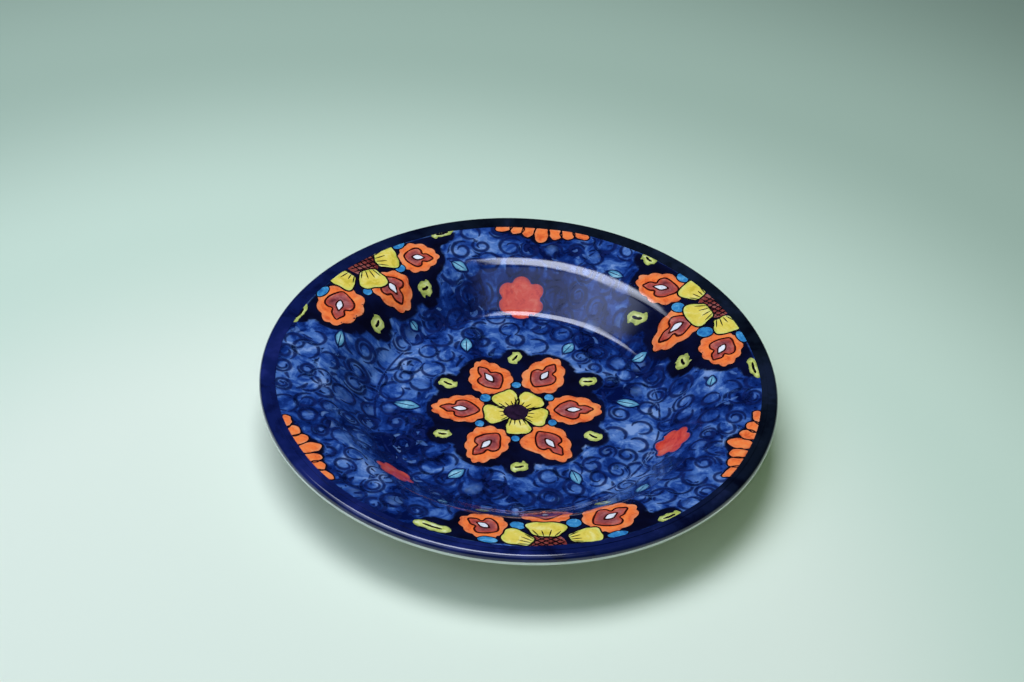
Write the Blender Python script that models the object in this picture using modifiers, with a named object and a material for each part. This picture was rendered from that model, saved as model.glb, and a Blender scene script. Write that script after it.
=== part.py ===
"""A hand painted rimmed plate, in metres, standing on its foot ring at z = 0 with the Z axis up its middle.

The plate is one turned clay body under four separate coats: the painted face glaze, the cobalt band over
the lip, the white glaze on the back and the white glaze inside the foot ring. The underside of the foot
ring is left bare, because that is what the plate stands on in the kiln and on the table.

Every solid comes from one outline of the finished plate. The outline starts on the axis at the middle of
the well, runs out over the lip, back along the underside and ends on the axis under the well.
"""

import math

import bpy
from mathutils import Vector

# Driving dimensions, in metres
PLATE_RADIUS = 0.120
PLATE_HEIGHT = 0.032
WELL_DEPTH = 0.022
WELL_RADIUS = 0.0696
BAND_INNER_RADIUS = 0.113
FOOT_RADIUS = 0.069
FOOT_WIDTH = 0.005
FLOOR_THICKNESS = 0.006
WALL_THICKNESS = 0.0048
LIP_ROUNDING = 0.0022
LIP_THICKNESS = 0.0058

# Slopes of the wall and the rim above the horizontal
WALL_SLOPE = math.radians(40)
RIM_SLOPE = math.radians(10)

# Roundings between the straight stretches of the outline
WELL_ROUNDING = 0.0084
SHOULDER_ROUNDING = 0.015
UNDER_SHOULDER_ROUNDING = 0.014
FOOT_JOIN_ROUNDING = 0.0025
FOOT_EDGE_ROUNDING = 0.001
FOOT_WELL_ROUNDING = 0.002

# Coats of glaze, and the clearance that keeps each solid off its neighbours
GLAZE_THICKNESS = 0.0005
CLEARANCE = 0.0003
BARE_FOOT_HEIGHT = 0.0015

SEGMENTS = 60
SHARP_ANGLE = math.radians(50)
MERGE_DISTANCE = 0.00001

COLLECTION_NAME = "hand_painted_ceramic_plate"

# Name: colour, roughness
COATS = {
    "clay_body": ((0.62, 0.50, 0.38), 0.85),
    "face_glaze": ((0.055, 0.115, 0.36), 0.12),
    "lip_band_glaze": ((0.006, 0.010, 0.10), 0.10),
    "back_glaze": ((0.74, 0.79, 0.74), 0.18),
    "foot_well_glaze": ((0.72, 0.77, 0.72), 0.20),
}


def clear_scene():
    """Removes every object, so that the script always starts from an empty scene."""
    for found in list(bpy.data.objects):
        bpy.data.objects.remove(found, do_unlink=True)


def make_material(name, colour, roughness):
    """A Principled material of one colour for a coat or the bare clay."""
    material = bpy.data.materials.new(name)
    material.use_nodes = True
    shader = material.node_tree.nodes["Principled BSDF"]
    shader.inputs["Base Color"].default_value = (*colour, 1.0)
    shader.inputs["Roughness"].default_value = roughness
    shader.inputs["Metallic"].default_value = 0.0
    return material


def point_on_line(start, slope, radius):
    """The point at the given radius on the line through start that rises outwards at slope."""
    return Vector((radius, start.y + (radius - start.x) * math.tan(slope)))


def meeting_point(first, first_slope, second, second_slope):
    """Where two sloping lines meet, each given by a point and its slope above the horizontal."""
    first_rise = math.tan(first_slope)
    second_rise = math.tan(second_slope)
    gap = second.y - first.y + first_rise * first.x - second_rise * second.x
    return point_on_line(first, first_slope, gap / (first_rise - second_rise))


def plate_corners():
    """The corners of the finished plate's outline: (point, rounding, steps in the rounding).

    Points are (radius, height). A corner with no rounding is where one coat ends and the next begins.
    """
    floor_height = PLATE_HEIGHT - WELL_DEPTH
    under_floor = floor_height - FLOOR_THICKNESS
    wall_foot = Vector((WELL_RADIUS, floor_height))

    # The lip's rounding takes a little off the corner, and the top of the rounding is the plate's height.
    lip_turn = math.pi / 2 + RIM_SLOPE
    lip_corner_height = PLATE_HEIGHT + LIP_ROUNDING * (math.tan(lip_turn / 2) - 1)
    lip_top = Vector((PLATE_RADIUS, lip_corner_height))
    lip_bottom = lip_top - Vector((0, LIP_THICKNESS))
    lip_middle = (lip_top + lip_bottom) / 2 - Vector((0, LIP_ROUNDING * math.tan(RIM_SLOPE)))
    shoulder = meeting_point(wall_foot, WALL_SLOPE, lip_top, RIM_SLOPE)
    band_start = point_on_line(lip_top, RIM_SLOPE, BAND_INNER_RADIUS)

    into_wall = Vector((math.sin(WALL_SLOPE), -math.cos(WALL_SLOPE))) * WALL_THICKNESS
    under_wall = wall_foot + into_wall
    under_shoulder = meeting_point(under_wall, WALL_SLOPE, lip_bottom, RIM_SLOPE)
    foot_join = point_on_line(under_wall, WALL_SLOPE, FOOT_RADIUS)
    foot_inner_radius = FOOT_RADIUS - FOOT_WIDTH

    return [
        (Vector((0, floor_height)), 0, 0),
        (wall_foot, WELL_ROUNDING, 3),
        (shoulder, SHOULDER_ROUNDING, 2),
        (band_start, 0, 0),
        (lip_top, LIP_ROUNDING, 3),
        (lip_middle, 0, 0),
        (lip_bottom, LIP_ROUNDING, 2),
        (under_shoulder, UNDER_SHOULDER_ROUNDING, 2),
        (foot_join, FOOT_JOIN_ROUNDING, 2),
        (Vector((FOOT_RADIUS, BARE_FOOT_HEIGHT)), 0, 0),
        (Vector((FOOT_RADIUS, 0)), FOOT_EDGE_ROUNDING, 1),
        (Vector((foot_inner_radius, 0)), FOOT_EDGE_ROUNDING, 1),
        (Vector((foot_inner_radius, BARE_FOOT_HEIGHT)), 0, 0),
        (Vector((foot_inner_radius, under_floor)), FOOT_WELL_ROUNDING, 1),
        (Vector((0, under_floor)), 0, 0),
    ]


def left_normal(direction):
    """The normal on the left of a direction, which is the outside of the plate along its outline."""
    return Vector((-direction.y, direction.x))


def rounded_corner(corner, before, after, rounding, steps):
    """Stations (point, outward normal) round one corner, given the directions before and after it."""
    normal = left_normal(before)
    turn = before.angle_signed(after, 0)
    side = 1 if turn > 0 else -1
    start = corner - before * rounding * math.tan(abs(turn) / 2)
    centre = start - normal * rounding * side
    stations = []
    for step in range(steps + 1):
        angle = math.atan2(normal.y, normal.x) - turn * step / steps
        outward = Vector((math.cos(angle), math.sin(angle)))
        stations.append((centre + outward * rounding * side, outward))
    return stations


def outline_sections():
    """The finished plate's outline as one list of stations for each coat, in order along the outline."""
    corners = plate_corners()
    sections = []
    for index, (corner, rounding, steps) in enumerate(corners):
        following = corners[min(index + 1, len(corners) - 1)][0]
        preceding = corners[max(index - 1, 0)][0]
        after = (following - corner).normalized()
        before = (corner - preceding).normalized()
        if rounding:
            sections[-1] += rounded_corner(corner, before, after, rounding, steps)
            continue
        if index:
            sections[-1].append((corner, left_normal(before)))
        if index < len(corners) - 1:
            sections.append([(corner, left_normal(after))])
    return sections


def trimmed(section, at_start, at_end):
    """The section with each end pulled back by the given distance, which leaves room for its neighbour."""
    result = list(section)
    first, first_normal = section[0]
    last, last_normal = section[-1]
    forward = (section[1][0] - first).normalized()
    backward = (section[-2][0] - last).normalized()
    result[0] = (first + forward * at_start, first_normal)
    result[-1] = (last + backward * at_end, last_normal)
    return result


def inset(section, distance):
    """The section's points moved into the plate by a distance."""
    return [point - normal * distance for point, normal in section]


def on_axis(points):
    """The points with the ones that should be on the axis put exactly there."""
    return [Vector((0 if point.x < MERGE_DISTANCE else point.x, point.y)) for point in points]


def turned(name, points, is_ring, collection):
    """A turned solid. Its profile runs down the outer side, from top to bottom, and turns about Z."""
    profile = on_axis(points)
    edges = [(index, index + 1) for index in range(len(profile) - 1)]
    if is_ring:
        edges.append((len(profile) - 1, 0))
    wire = bpy.data.meshes.new(name + "_profile")
    wire.from_pydata([(point.x, 0, point.y) for point in profile], edges, [])
    made = bpy.data.objects.new(name, wire)
    collection.objects.link(made)

    screw = made.modifiers.new("Turn", "SCREW")
    screw.angle = 2 * math.pi
    screw.steps = SEGMENTS
    screw.render_steps = SEGMENTS
    screw.use_merge_vertices = True
    screw.merge_threshold = MERGE_DISTANCE

    # The turned mesh takes the profile's place, so that its sharp edges can be marked.
    evaluated = made.evaluated_get(bpy.context.evaluated_depsgraph_get())
    made.data = bpy.data.meshes.new_from_object(evaluated)
    made.data.name = name
    made.modifiers.clear()
    bpy.data.meshes.remove(wire)
    made.data.shade_smooth()
    made.data.set_sharp_from_angle(angle=SHARP_ANGLE)

    colour, roughness = COATS[name]
    made.data.materials.clear()
    made.data.materials.append(make_material(name, colour, roughness))
    return made


def coat(name, section, collection):
    """A coat of glaze over one section of the outline."""
    outside = inset(section, 0)
    inside = inset(section, GLAZE_THICKNESS)
    starts_on_axis = outside[0].x < MERGE_DISTANCE
    ends_on_axis = outside[-1].x < MERGE_DISTANCE
    points = inside[::-1] + outside if ends_on_axis else outside + inside[::-1]
    return turned(name, points, not starts_on_axis and not ends_on_axis, collection)


def clay(name, sections, collection):
    """The clay body: the whole outline set back under the coats, and at full size at the bare foot."""
    face, lip_band, back, foot, foot_well = sections
    depth = GLAZE_THICKNESS + CLEARANCE
    upper = inset(face, depth) + inset(lip_band, depth)[1:] + inset(back, depth)[1:]
    points = upper + inset(foot, 0) + inset(foot_well, depth)
    return turned(name, points, False, collection)


def build():
    """Makes the plate's five solids in their own collection."""
    clear_scene()
    collection = bpy.data.collections.new(COLLECTION_NAME)
    bpy.context.scene.collection.children.link(collection)
    sections = outline_sections()
    face, lip_band, back, _, foot_well = sections
    clay("clay_body", sections, collection)
    coat("face_glaze", trimmed(face, 0, 0), collection)
    coat("lip_band_glaze", trimmed(lip_band, CLEARANCE, 0), collection)
    coat("back_glaze", trimmed(back, CLEARANCE, CLEARANCE), collection)
    coat("foot_well_glaze", trimmed(foot_well, CLEARANCE, 0), collection)


build()
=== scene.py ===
"""The looks of the hand painted ceramic plate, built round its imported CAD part.

The plate's own surfaces are turned from the same outline as the CAD. The painting is laid on the face as
thin layers of colour: each flower, leaf, outline and curl is a slab of paint that follows the surface under
it. The plate and its painting are in millimetres until a mesh is made, while materials and the studio are in
metres. Headings are in degrees. A plan point is (x, y) as seen from straight above, from the plate's axis.
"""

import math
import random

import bpy
import numpy as np
from mathutils import Matrix, Vector
from mathutils.geometry import delaunay_2d_cdt


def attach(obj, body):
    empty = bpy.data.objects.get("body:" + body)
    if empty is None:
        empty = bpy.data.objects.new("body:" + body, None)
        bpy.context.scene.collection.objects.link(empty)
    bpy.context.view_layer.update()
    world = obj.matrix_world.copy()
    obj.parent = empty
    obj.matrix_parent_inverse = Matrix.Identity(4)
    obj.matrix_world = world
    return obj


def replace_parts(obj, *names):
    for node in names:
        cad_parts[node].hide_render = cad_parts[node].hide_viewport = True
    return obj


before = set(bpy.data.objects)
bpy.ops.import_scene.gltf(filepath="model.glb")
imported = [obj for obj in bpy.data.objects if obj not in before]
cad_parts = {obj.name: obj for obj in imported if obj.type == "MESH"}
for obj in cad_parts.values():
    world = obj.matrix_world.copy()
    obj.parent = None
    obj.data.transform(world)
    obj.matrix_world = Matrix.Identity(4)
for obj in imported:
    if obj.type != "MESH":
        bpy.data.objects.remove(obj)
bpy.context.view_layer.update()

MM = 0.001

# --- The plate's outline, with the sizes of its CAD part ---
PLATE_RADIUS = 120.0
PLATE_HEIGHT = 32.0
WELL_DEPTH = 22.0
FLOOR_HEIGHT = PLATE_HEIGHT - WELL_DEPTH
WELL_RADIUS = 69.6
BAND_INNER_RADIUS = 113.0
FOOT_RADIUS = 69.0
FOOT_WIDTH = 5.0
FLOOR_THICKNESS = 6.0
WALL_THICKNESS = 4.8
LIP_ROUNDING = 2.2
LIP_THICKNESS = 5.8
WALL_SLOPE = math.radians(40)
RIM_SLOPE = math.radians(10)
WELL_ROUNDING = 8.4
SHOULDER_ROUNDING = 15.0
UNDER_SHOULDER_ROUNDING = 14.0
FOOT_JOIN_ROUNDING = 2.5
FOOT_EDGE_ROUNDING = 1.0
FOOT_WELL_ROUNDING = 2.0
BARE_FOOT_HEIGHT = 1.5
GLAZE_THICKNESS = 0.5

SEGMENTS = 360
ARC_STEP = math.radians(4)
STRAIGHT_STEP = 2.0
SLOPE_STEP = 0.5
SHARP_ANGLE = math.radians(50)

# --- The slight unevenness of a rim turned by hand ---
SWELL = 0.0045
SWELL_HEADING = math.radians(80)
LIFT = 0.25
LIFT_HEADING = math.radians(85)

# --- The painting ---
LAYER = 0.025
SLAB_DEPTH = 0.15
OUTLINE_STEP = 0.5
GRID_STEP = 2.2
BEND_STEP = 0.9
EDGE_CLEARANCE = 0.3
PAINT_EDGE = 112.9
FINE_LINE = 0.6

# The kinds of paint in the order in which they lie over each other
LAYERS = [
    "pools", "strokes", "curls", "ground", "orange petals", "petal lines", "tulips", "tulip lines",
    "dots", "dot lines", "yellow petals", "yellow lines", "drops",
]

# Below these, a radius is on the axis, two points are one, and a length is nothing
ON_AXIS = 1e-6
SAME_POINT = 1e-4
TINY = 1e-9


# --- The plate's outline ---


def point_on_line(start, slope, radius):
    """The point at the given radius on the line through start that rises outwards at slope."""
    return np.array([radius, start[1] + (radius - start[0]) * math.tan(slope)])


def meeting_point(first, first_slope, second, second_slope):
    """Where two sloping lines meet."""
    first_rise = math.tan(first_slope)
    second_rise = math.tan(second_slope)
    gap = second[1] - first[1] + first_rise * first[0] - second_rise * second[0]
    return point_on_line(first, first_slope, gap / (first_rise - second_rise))


def plate_corners():
    """The corners of the plate's outline from the middle of the well round to the middle underneath."""
    under_floor = FLOOR_HEIGHT - FLOOR_THICKNESS
    wall_foot = np.array([WELL_RADIUS, FLOOR_HEIGHT])
    lip_turn = math.pi / 2 + RIM_SLOPE
    lip_corner_height = PLATE_HEIGHT + LIP_ROUNDING * (math.tan(lip_turn / 2) - 1)
    lip_top = np.array([PLATE_RADIUS, lip_corner_height])
    lip_bottom = lip_top - np.array([0, LIP_THICKNESS])
    lip_middle = (lip_top + lip_bottom) / 2 - np.array([0, LIP_ROUNDING * math.tan(RIM_SLOPE)])
    shoulder = meeting_point(wall_foot, WALL_SLOPE, lip_top, RIM_SLOPE)
    band_start = point_on_line(lip_top, RIM_SLOPE, BAND_INNER_RADIUS)
    under_wall = wall_foot + WALL_THICKNESS * np.array([math.sin(WALL_SLOPE), -math.cos(WALL_SLOPE)])
    under_shoulder = meeting_point(under_wall, WALL_SLOPE, lip_bottom, RIM_SLOPE)
    foot_join = point_on_line(under_wall, WALL_SLOPE, FOOT_RADIUS)
    foot_inner = FOOT_RADIUS - FOOT_WIDTH
    return [
        ((0, FLOOR_HEIGHT), 0),
        (wall_foot, WELL_ROUNDING),
        (shoulder, SHOULDER_ROUNDING),
        (band_start, 0),
        (lip_top, LIP_ROUNDING),
        (lip_middle, 0),
        (lip_bottom, LIP_ROUNDING),
        (under_shoulder, UNDER_SHOULDER_ROUNDING),
        (foot_join, FOOT_JOIN_ROUNDING),
        ((FOOT_RADIUS, BARE_FOOT_HEIGHT), 0),
        ((FOOT_RADIUS, 0), FOOT_EDGE_ROUNDING),
        ((foot_inner, 0), FOOT_EDGE_ROUNDING),
        ((foot_inner, BARE_FOOT_HEIGHT), 0),
        ((foot_inner, under_floor), FOOT_WELL_ROUNDING),
        ((0, under_floor), 0),
    ]


def unit(vector):
    """The vector at length 1."""
    return vector / np.hypot(*vector)


def left_of(direction):
    """The normal on the left of a direction, which is the outside of the plate along its outline."""
    return np.array([-direction[1], direction[0]])


def rounded_corner(corner, before, after, rounding):
    """Stations round one corner, each (radius, height, normal's radial part, normal's upward part)."""
    normal = left_of(before)
    turn = math.atan2(before[0] * after[1] - before[1] * after[0], before @ after)
    side = -1 if turn > 0 else 1
    start = corner - before * rounding * math.tan(abs(turn) / 2)
    centre = start - normal * rounding * side
    steps = max(2, round(abs(turn) / ARC_STEP))
    angles = math.atan2(normal[1], normal[0]) + turn * np.arange(steps + 1) / steps
    outward = np.stack([np.cos(angles), np.sin(angles)], 1)
    return np.hstack([centre + outward * rounding * side, outward])


def straight(start, end):
    """Stations inside the straight stretch from one station to the next, without its ends."""
    length = np.hypot(*(end[:2] - start[:2]))
    steps = max(1, round(length / STRAIGHT_STEP))
    share = (np.arange(1, steps) / steps)[:, None]
    return start + (end - start) * share


def outline_sections():
    """The outline as one array of stations for each coat: face, band, back, foot and foot well."""
    corners = [(np.array(point, float), rounding) for point, rounding in plate_corners()]
    sections = []
    for index, (corner, rounding) in enumerate(corners):
        preceding = corners[max(index - 1, 0)][0]
        following = corners[min(index + 1, len(corners) - 1)][0]
        if index == 0:
            sections.append([np.hstack([corner, left_of(unit(following - corner))])[None]])
            continue
        before = unit(corner - preceding)
        if rounding:
            added = rounded_corner(corner, before, unit(following - corner), rounding)
        else:
            added = np.hstack([corner, left_of(before)])[None]
        sections[-1] += [straight(sections[-1][-1][-1], added[0]), added]
        if not rounding and index < len(corners) - 1:
            sections.append([added])
    return [np.vstack(section) for section in sections]


FACE, BAND, BACK, FOOT, FOOT_WELL = outline_sections()
UPPER = np.vstack([FACE, BAND[1:]])
UPPER = UPPER[: int(np.argmax(UPPER[:, 1]))]


def hand_turned(points):
    """Points of the plate with the swell and lift that the potter's hand left in the rim."""
    x, y, z = np.asarray(points, float).T
    angle = np.arctan2(y, x)
    share = (np.hypot(x, y) / PLATE_RADIUS) ** 3
    swell = 1 + SWELL * share * np.cos(3 * (angle - SWELL_HEADING))
    lift = LIFT * share * np.cos(angle - LIFT_HEADING) * np.clip(z / FLOOR_HEIGHT, 0, 1)
    return np.stack([x * swell, y * swell, z + lift], 1)


# --- Meshes ---


def ring_angles(count):
    """Angles once round, in radians."""
    return 2 * math.pi * np.arange(count) / count


def polar(reach, angle):
    """Plan points at distances and angles from the axis."""
    return np.column_stack([reach * np.cos(angle), reach * np.sin(angle)])


def in_scene(name, data):
    """A new object that holds the data, linked into the scene."""
    made = bpy.data.objects.new(name, data)
    bpy.context.scene.collection.objects.link(made)
    return made


def new_piece(name, mesh, material):
    """A piece of the plate: it rides with the plate's body and takes the given material."""
    made = in_scene(name, mesh)
    mesh.materials.append(material)
    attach(made, "root")
    return made


def turned_piece(name, profile, material):
    """A turned solid from a profile of (radius, height), which is closed where it keeps off the axis."""
    vertices = []
    rings = []
    for radius, height in profile:
        first = len(vertices)
        if radius < ON_AXIS:
            vertices.append((0.0, 0.0, height))
            rings.append([first] * SEGMENTS)
            continue
        vertices += [(*point, height) for point in polar(radius, ring_angles(SEGMENTS))]
        rings.append(list(range(first, first + SEGMENTS)))
    if profile[:, 0].min() > ON_AXIS:
        rings.append(rings[0])
    faces = []
    for upper, lower in zip(rings, rings[1:]):
        for index in range(SEGMENTS):
            after = (index + 1) % SEGMENTS
            corners = [upper[index], lower[index], lower[after], upper[after]]
            face = list(dict.fromkeys(corners))
            if len(face) > 2:
                faces.append(face)
    mesh = bpy.data.meshes.new(name)
    mesh.from_pydata((hand_turned(vertices) * MM).tolist(), [], faces)
    mesh.shade_smooth()
    mesh.set_sharp_from_angle(angle=SHARP_ANGLE)
    return new_piece(name, mesh, material)


def under_glaze(section):
    """The clay's (radius, height) under a section of the outline."""
    return section[:, :2] - section[:, 2:] * GLAZE_THICKNESS


def skin_profile(section):
    """The closed profile of a coat of glaze over a section of the outline."""
    outside = section[:, :2]
    inside = under_glaze(section)[::-1]
    if section[-1, 0] < ON_AXIS:
        return np.vstack([inside, outside])
    return np.vstack([outside, inside])


def clay_profile():
    """The clay's profile: under the coats, and at the finished surface on the bare foot."""
    face, band, back, foot_well = [under_glaze(section) for section in (FACE, BAND, BACK, FOOT_WELL)]
    return np.vstack([face, band[1:], back[1:], FOOT[:, :2], foot_well])


# --- Paint on the face ---


def on_face(plan, height):
    """Plan points set a height above the face, with the rim's unevenness."""
    level = np.interp(np.hypot(*plan.T), UPPER[:, 0], UPPER[:, 1]) + height
    return hand_turned(np.column_stack([plan, level]))


def face_normals(plan):
    """The face's normals at plan points, tilted a little by the rim's unevenness."""
    radius = np.maximum(np.hypot(*plan.T), TINY)
    outward, upward = [np.interp(radius, UPPER[:, 0], UPPER[:, axis]) for axis in (2, 3)]
    normals = np.column_stack([plan / radius[:, None] * outward[:, None], upward])
    level = np.column_stack([plan, np.full(len(plan), FLOOR_HEIGHT)])
    for axis in (0, 1):
        step = SLOPE_STEP * np.eye(3)[axis]
        rise = (hand_turned(level + step) - hand_turned(level - step))[:, 2] / (2 * SLOPE_STEP)
        normals[:, axis] -= rise * normals[:, 2]
    return normals / np.linalg.norm(normals, axis=1)[:, None]


def paint_piece(name, shapes, layer, material):
    """One piece of paint: shapes of (plan points, triangles, fade), each a thin slab on the face.

    Fade is 1 where the paint is solid and 0 where it runs out into the wash.
    """
    counts = np.cumsum([0] + [len(plan) for plan, _, _ in shapes])
    plan = np.vstack([shape[0] for shape in shapes])
    top = np.vstack([triangles + first for (_, triangles, _), first in zip(shapes, counts)])
    fade = np.concatenate([shape[2] for shape in shapes])
    total = len(plan)
    height = (LAYERS.index(layer) + 1) * LAYER
    vertices = np.vstack([on_face(plan, height), on_face(plan, -SLAB_DEPTH)])

    edges = np.vstack([top[:, [0, 1]], top[:, [1, 2]], top[:, [2, 0]]]).astype(np.int64)
    forward = edges[:, 0] * total + edges[:, 1]
    backward = edges[:, 1] * total + edges[:, 0]
    rim = edges[~np.isin(forward, backward)]
    walls = np.vstack([
        np.column_stack([rim[:, 0], rim[:, 0] + total, rim[:, 1]]),
        np.column_stack([rim[:, 1], rim[:, 0] + total, rim[:, 1] + total]),
    ])
    bottom = top[:, ::-1] + total
    triangles = np.vstack([top, bottom, walls])

    normals = face_normals(plan)
    side = vertices[walls]
    across = np.cross(side[:, 1] - side[:, 0], side[:, 2] - side[:, 0])
    across /= np.maximum(np.linalg.norm(across, axis=1), TINY)[:, None]
    below = -normals[bottom.ravel() - total]
    loop_normals = np.vstack([normals[top.ravel()], below, np.repeat(across, 3, 0)])

    mesh = bpy.data.meshes.new(name)
    mesh.from_pydata((vertices * MM).tolist(), [], triangles.tolist())
    mesh.validate()
    attribute = mesh.attributes.new("fade", "FLOAT", "POINT")
    attribute.data.foreach_set("value", np.tile(fade, 2).astype(np.float32))
    mesh.shade_smooth()
    mesh.normals_split_custom_set(loop_normals.tolist())
    return new_piece(name, mesh, material)


def kept_inside(plan):
    """Plan points with those beyond the painted face drawn in to its edge."""
    return plan * np.minimum(1, PAINT_EDGE / np.maximum(np.hypot(*plan.T), TINY))[:, None]


def even_steps(points, closed, step=OUTLINE_STEP):
    """A dense line of points stepped out evenly again."""
    line = np.vstack([points, points[:1]]) if closed else points
    along = np.concatenate([[0], np.cumsum(np.hypot(*np.diff(line, axis=0).T))])
    count = max(8, int(along[-1] / step))
    wanted = np.linspace(0, along[-1], count + 1)
    if closed:
        wanted = wanted[:-1]
    return np.column_stack([np.interp(wanted, along, line[:, axis]) for axis in (0, 1)])


def smooth_curve(points, closed):
    """A smooth curve through a few plan points."""
    points = np.asarray(points, float)
    count = len(points)
    spans = count if closed else count - 1
    share = np.linspace(0, 1, 12, endpoint=False)[:, None]
    pieces = []
    for span in range(spans):
        index = [span - 1, span, span + 1, span + 2]
        index = [i % count if closed else min(max(i, 0), count - 1) for i in index]
        a, b, c, d = points[index]
        bend = (2 * a - 5 * b + 4 * c - d) * share**2 + (3 * b - a - 3 * c + d) * share**3
        pieces.append(0.5 * (2 * b + (c - a) * share + bend))
    if not closed:
        pieces.append(points[-1:])
    return even_steps(np.vstack(pieces), closed)


def placed(points, x, y, heading):
    """Local points turned to a heading, in degrees, and moved to a place."""
    turn = math.radians(heading)
    across = np.array([[math.cos(turn), math.sin(turn)], [-math.sin(turn), math.cos(turn)]])
    return np.asarray(points, float) @ across + (x, y)


def unevenness(count, amount, waves, draw):
    """A smooth closed row of small numbers, like the shake in a hand-drawn line."""
    angle = ring_angles(count)
    row = np.zeros(count)
    for wave in range(2, waves + 2):
        row += draw.uniform(-1, 1) * np.cos(wave * angle + draw.uniform(0, 6.28)) / wave**0.5
    return amount * row


def sideways(ahead):
    """Unit vectors to the left of each direction."""
    left = np.column_stack([-ahead[:, 1], ahead[:, 0]])
    return left / np.maximum(np.hypot(*left.T), TINY)[:, None]


def hand_drawn(outline, amount, draw, waves=9):
    """A closed outline shaken in and out along its normals."""
    ahead = np.roll(outline, -1, 0) - np.roll(outline, 1, 0)
    return outline - sideways(ahead) * unevenness(len(outline), amount, waves, draw)[:, None]


def oval(x, y, length, width, heading=0.0):
    """An oval outline."""
    local = polar(0.5, ring_angles(48)) * (length, width)
    return even_steps(placed(local, x, y, heading), True)


def scalloped_petal(x, y, heading, length, width, draw, ear=None):
    """A petal's outline, scalloped all round and fuller near its base.

    An ear is a part that sticks out, as (angle, share of the petal's reach).
    """
    angle = ring_angles(200)

    def swelling(heading, width):
        off = np.abs((angle - math.radians(heading) + math.pi) % (2 * math.pi) - math.pi)
        return np.exp(-((off / width) ** 2))

    bumps = draw.choice((9, 10, 11))
    scallop = 1 + 0.11 * (np.abs(np.sin(bumps * angle / 2 + draw.uniform(0, 3.14))) - 0.65)
    scallop += unevenness(200, 0.020, 6, draw) + 0.05 * swelling(0, 0.55)
    if ear:
        scallop += ear[1] * swelling(ear[0], 0.30)
    along = length / 2 * np.cos(angle) * scallop
    across = width / 2 * np.sin(angle) * (1 - 0.20 * np.cos(angle)) * scallop
    return even_steps(placed(np.column_stack([along, across]), x, y, heading), True)


def mirrored(side):
    """A shape's points all round, from those along one side of it."""
    return side + [(along, -across) for along, across in side[::-1] if across]


# Outlines in shares of their length and width: a yellow petal, a tulip with a notch on each side, a drop
# and a stubby leaf with a ragged edge
FAN = mirrored([(-0.5, 0.24), (-0.25, 0.38), (0.08, 0.50), (0.33, 0.47), (0.47, 0.27), (0.47, 0.0)])
TULIP = mirrored([
    (-0.5, 0.0), (-0.40, 0.20), (-0.22, 0.40), (-0.04, 0.48), (0.10, 0.38),
    (0.14, 0.20), (0.30, 0.20), (0.42, 0.10), (0.5, 0.0),
])
DROP = mirrored([(-0.5, 0.0), (-0.28, 0.36), (0.0, 0.5), (0.3, 0.25), (0.5, 0.0)])
RAGGED_LEAF = [
    (-0.54, 0.02), (-0.34, 0.40), (-0.06, 0.46), (0.20, 0.40), (0.36, 0.50),
    (0.52, 0.06), (0.32, -0.36), (0.04, -0.50), (-0.24, -0.38), (-0.38, -0.46),
]


def curved(shape, x, y, heading, length, width):
    """A smooth outline of a shape."""
    return smooth_curve(placed(np.array(shape) * (length, width), x, y, heading), True)


def leaf(x, y, heading, length, width):
    """A leaf's outline, pointed at both ends."""
    share = np.linspace(0, 1, 24)
    half = width / 2 * np.sin(math.pi * share) ** 0.9
    along = length * (share - 0.5)
    upper = np.column_stack([along, half])
    lower = np.column_stack([along[::-1], -half[::-1]])[1:-1]
    return even_steps(placed(np.vstack([upper, lower]), x, y, heading), True)


def filled(outline, fade_from=None):
    """A filled shape as (plan points, triangles, fade), with points inside it that follow the face."""
    outline = kept_inside(outline)
    reach = np.hypot(*outline.T)
    round_axis = is_inside(np.zeros((1, 2)), outline)[0]
    inner = [np.zeros((0, 2))]
    for radius in grid_radii(0 if round_axis else reach.min(), reach.max()):
        ring = polar(radius, ring_angles(max(6, int(2 * math.pi * radius / GRID_STEP))))
        inner.append(ring[((ring > outline.min(0)) & (ring < outline.max(0))).all(1)])
    inner = np.vstack(inner)
    inner = inner[is_inside(inner, outline) & (distance_to(inner, outline) > EDGE_CLEARANCE)]
    points = [Vector(p) for p in np.vstack([outline, inner]).tolist()]
    result = delaunay_2d_cdt(points, [], [list(range(len(outline)))], 1, SAME_POINT)
    plan = np.array([tuple(v) for v in result[0]])
    triangles = np.array([f for f in result[2] if len(f) == 3], int)
    first, second, third = plan[triangles.T]
    area = np.cross(second - first, third - first)
    triangles = np.where(area[:, None] < 0, triangles[:, ::-1], triangles)[np.abs(area) > TINY]
    fade = np.ones(len(plan))
    if fade_from is not None:
        fade = np.clip(distance_to(plan, outline) / fade_from, 0, 1)
    return plan, triangles, fade


def grid_radii(low, high):
    """Radii for points inside a shape: close together where the face bends, and wider apart elsewhere."""
    radii = []
    last = -GRID_STEP
    for radius, turning in zip(UPPER[:, 0], np.abs(np.gradient(UPPER[:, 2]))):
        gap = BEND_STEP if turning > 0.01 else GRID_STEP - 0.3
        if low < radius < high and radius - last >= gap:
            radii.append(radius)
            last = radius
    return radii


def is_inside(points, outline):
    """Whether each point lies inside a closed outline."""
    x, y = points[:, 0, None], points[:, 1, None]
    ax, ay = outline.T
    bx, by = np.roll(outline, -1, 0).T
    spans = (ay[None] > y) != (by[None] > y)
    rise = np.where(by == ay, TINY, by - ay)
    crossing = ax + (y - ay) * (bx - ax) / rise
    return (spans & (x < crossing)).sum(1) % 2 == 1


def distance_to(points, outline):
    """Each point's distance to the nearest point of an outline."""
    gaps = points[:, None] - outline[None]
    return np.sqrt((gaps**2).sum(2)).min(1)


# Lanes of points along a stroke, from its right edge to its left, and how solid the paint is on each
STROKE_LANES = [-1, -0.45, 0, 0.45, 1]
SOFT_LANES = [0, 0.75, 1, 0.75, 0]
HARD_LANES = [1, 1, 1, 1, 1]


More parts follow.
